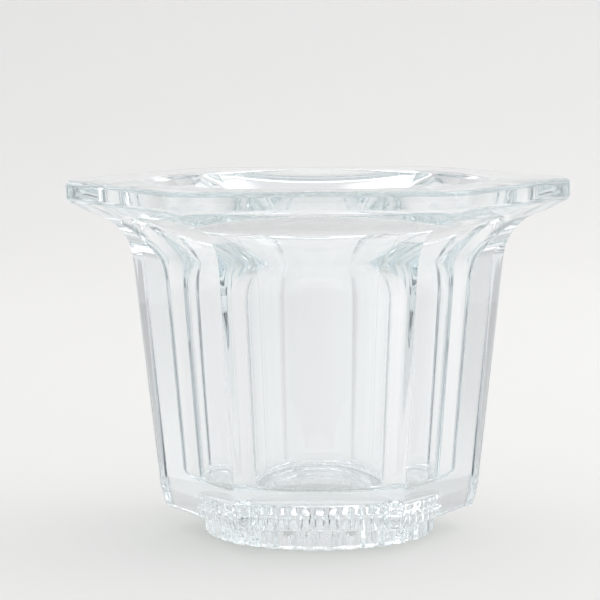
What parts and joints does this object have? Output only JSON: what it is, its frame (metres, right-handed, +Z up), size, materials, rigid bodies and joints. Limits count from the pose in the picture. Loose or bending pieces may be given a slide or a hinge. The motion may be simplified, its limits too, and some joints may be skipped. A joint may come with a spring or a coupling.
{
  "type": "tealight holder",
  "caption": "Pressed clear glass tealight holder: six-sided tapered cup with a flared lip, a thick base, a round well for one tealight and a fluted round foot with a ribbed hollow under it.",
  "frame": {"origin": "centre of the underside of the foot, on the table plane", "axes": "+Z up along the axis of the well; a flat side panel faces -Y, and two corners of the hexagon lie on the X axis"},
  "size_m": [0.1, 0.0896, 0.0704],
  "materials": {
    "clear_glass": "fire-polished clear pressed glass, smooth and glossy, with a faint icy blue-green tint where it is thick"
  },
  "bodies": {
    "root": {"glass_holder": "clear_glass"}
  },
  "joints": []
}
